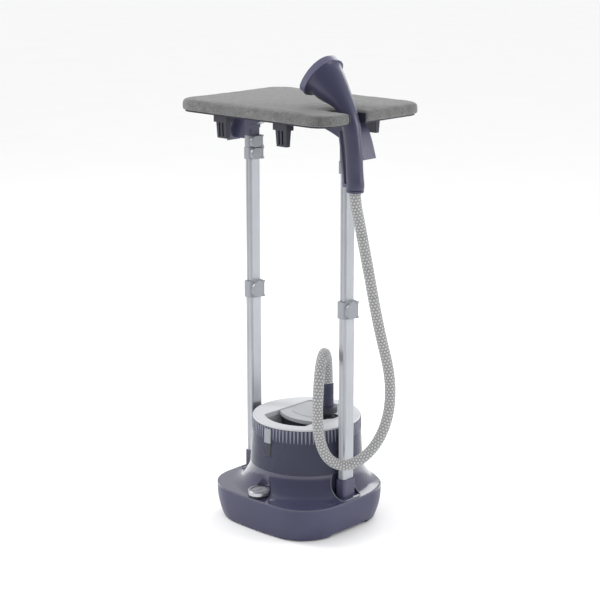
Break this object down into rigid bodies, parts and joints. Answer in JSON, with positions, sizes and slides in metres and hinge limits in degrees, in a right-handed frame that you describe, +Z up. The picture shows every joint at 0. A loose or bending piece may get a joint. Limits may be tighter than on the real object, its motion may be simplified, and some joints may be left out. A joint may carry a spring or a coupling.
{
  "type": "garment steamer",
  "caption": "Upright garment steamer: wide base with lift-out water tank, paired telescopic poles, padded hanging board, and a steam head docked in the board on a braided hose.",
  "frame": {"origin": "on the floor, midway between the two poles and midway front to back", "axes": "+Z up the poles, +X from the left pole to the right pole, -Y towards the front where the dial is"},
  "size_m": [0.4933, 0.34, 1.0794],
  "materials": {
    "housing": "satin",
    "deck": "glossy",
    "pale_plastic": "satin",
    "grey_plastic": "satin",
    "dark_plastic": "satin",
    "smoke_clear": "smooth tinted clear plastic",
    "rubber": "matte",
    "pole_metal": "satin",
    "steel": "satin",
    "boiler_metal": "cast",
    "brass": "plain",
    "felt": "melange",
    "sleeve": "braided",
    "circuit": "plain",
    "purple": "satin",
    "tube": "translucent"
  },
  "bodies": {
    "base": {"base_pan": "housing", "base_deck": "deck", "rubber_feet": "rubber", "base_screws": "steel", "boiler": "boiler_metal", "heating_element": "steel", "thermostat": "brass", "water_pump": "dark_plastic", "water_seat": "dark_plastic", "feed_tube": "tube", "steam_pipe": "brass", "control_board": "circuit", "mains_inlet": "dark_plastic", "dial_seat": "dark_plastic", "dial_switch": "dark_plastic", "hose_port": "dark_plastic", "hose_boot": "rubber", "pole_sockets": "dark_plastic", "lower_tubes": "pole_metal", "lower_collars": "pale_plastic", "lower_lever_pins": "steel", "hose_lower": "sleeve"},
    "dial": {"dial_knob": "steel", "dial_cap": "dark_plastic"},
    "tank": {"tank_wall": "smoke_clear", "tank_top": "pale_plastic", "tank_handle": "grey_plastic", "tank_recess": "dark_plastic", "tank_cap": "dark_plastic", "latch_track": "dark_plastic"},
    "latch": {"tank_latch": "pale_plastic"},
    "middle_stage": {"middle_tubes": "pole_metal", "middle_collars": "pale_plastic", "middle_lever_pins": "steel", "hose_middle": "sleeve"},
    "inner_stage": {"inner_tubes": "pole_metal", "inner_collars": "pale_plastic", "inner_lever_pins": "steel", "hose_inner": "sleeve"},
    "top_stage": {"upper_tubes": "pole_metal", "hanger_beam": "housing", "board_pan": "dark_plastic", "board_pad": "felt", "notch_liner": "dark_plastic", "board_clips": "grey_plastic", "board_screws": "steel", "hose_top": "sleeve"},
    "handset": {"head_shell": "housing", "head_bezel": "purple", "steam_plate": "steel", "handle_end": "housing", "steam_duct": "tube", "hose_end": "sleeve"},
    "trigger": {"steam_trigger": "purple"},
    "lower_lever_left": {"lower_lever_left": "pale_plastic"},
    "lower_lever_right": {"lower_lever_right": "pale_plastic"},
    "middle_lever_left": {"middle_lever_left": "pale_plastic"},
    "middle_lever_right": {"middle_lever_right": "pale_plastic"},
    "inner_lever_left": {"inner_lever_left": "pale_plastic"},
    "inner_lever_right": {"inner_lever_right": "pale_plastic"}
  },
  "joints": [
    {"name": "middle_slide", "type": "slide", "parent": "base", "child": "middle_stage", "axis": [0, 0, 1], "range_m": [-0.26, 0], "deforming": ["hose_middle"]},
    {"name": "inner_slide", "type": "slide", "parent": "middle_stage", "child": "inner_stage", "axis": [0, 0, 1], "range_m": [0, 0.24], "deforming": ["hose_inner"]},
    {"name": "upper_slide", "type": "slide", "parent": "inner_stage", "child": "top_stage", "axis": [0, 0, 1], "range_m": [0, 0.24], "deforming": ["hose_top"]},
    {"name": "handset_release", "type": "slide", "parent": "top_stage", "child": "handset", "axis": [1, 0, 0], "range_m": [0, 0.06]},
    {"name": "trigger_press", "type": "hinge", "parent": "handset", "child": "trigger", "pos_m": [0.2005, -0.054, 0.811], "axis": [0, 1, 0], "range_deg": [0, 3], "stiffness_Nm_per_rad": 3, "springref_deg": -2.86},
    {"name": "dial_turn", "type": "hinge", "parent": "base", "child": "dial", "pos_m": [0, -0.132, 0.085], "axis": [0, 0, -1], "range_deg": [0, 270]},
    {"name": "tank_lift", "type": "slide", "parent": "base", "child": "tank", "axis": [0, 0, 1], "range_m": [0, 0.055]},
    {"name": "latch_press", "type": "slide", "parent": "tank", "child": "latch", "axis": [0, 0, -1], "range_m": [0, 0.006], "stiffness_N_per_m": 400, "springref_m": -0.003},
    {"name": "lower_lever_left_open", "type": "hinge", "parent": "base", "child": "lower_lever_left", "pos_m": [-0.1267, 0.013, 0.519], "axis": [0, 0, 1], "range_deg": [0, 100]},
    {"name": "lower_lever_right_open", "type": "hinge", "parent": "base", "child": "lower_lever_right", "pos_m": [0.1633, 0.013, 0.519], "axis": [0, 0, 1], "range_deg": [0, 100]},
    {"name": "middle_lever_left_open", "type": "hinge", "parent": "middle_stage", "child": "middle_lever_left", "pos_m": [-0.1279, 0.013, 0.8365], "axis": [0, 0, 1], "range_deg": [0, 100]},
    {"name": "middle_lever_right_open", "type": "hinge", "parent": "middle_stage", "child": "middle_lever_right", "pos_m": [0.1621, 0.013, 0.8365], "axis": [0, 0, 1], "range_deg": [0, 100]},
    {"name": "inner_lever_left_open", "type": "hinge", "parent": "inner_stage", "child": "inner_lever_left", "pos_m": [-0.1291, 0.013, 0.86365], "axis": [0, 0, 1], "range_deg": [0, 100]},
    {"name": "inner_lever_right_open", "type": "hinge", "parent": "inner_stage", "child": "inner_lever_right", "pos_m": [0.1609, 0.013, 0.86365], "axis": [0, 0, 1], "range_deg": [0, 100]}
  ]
}
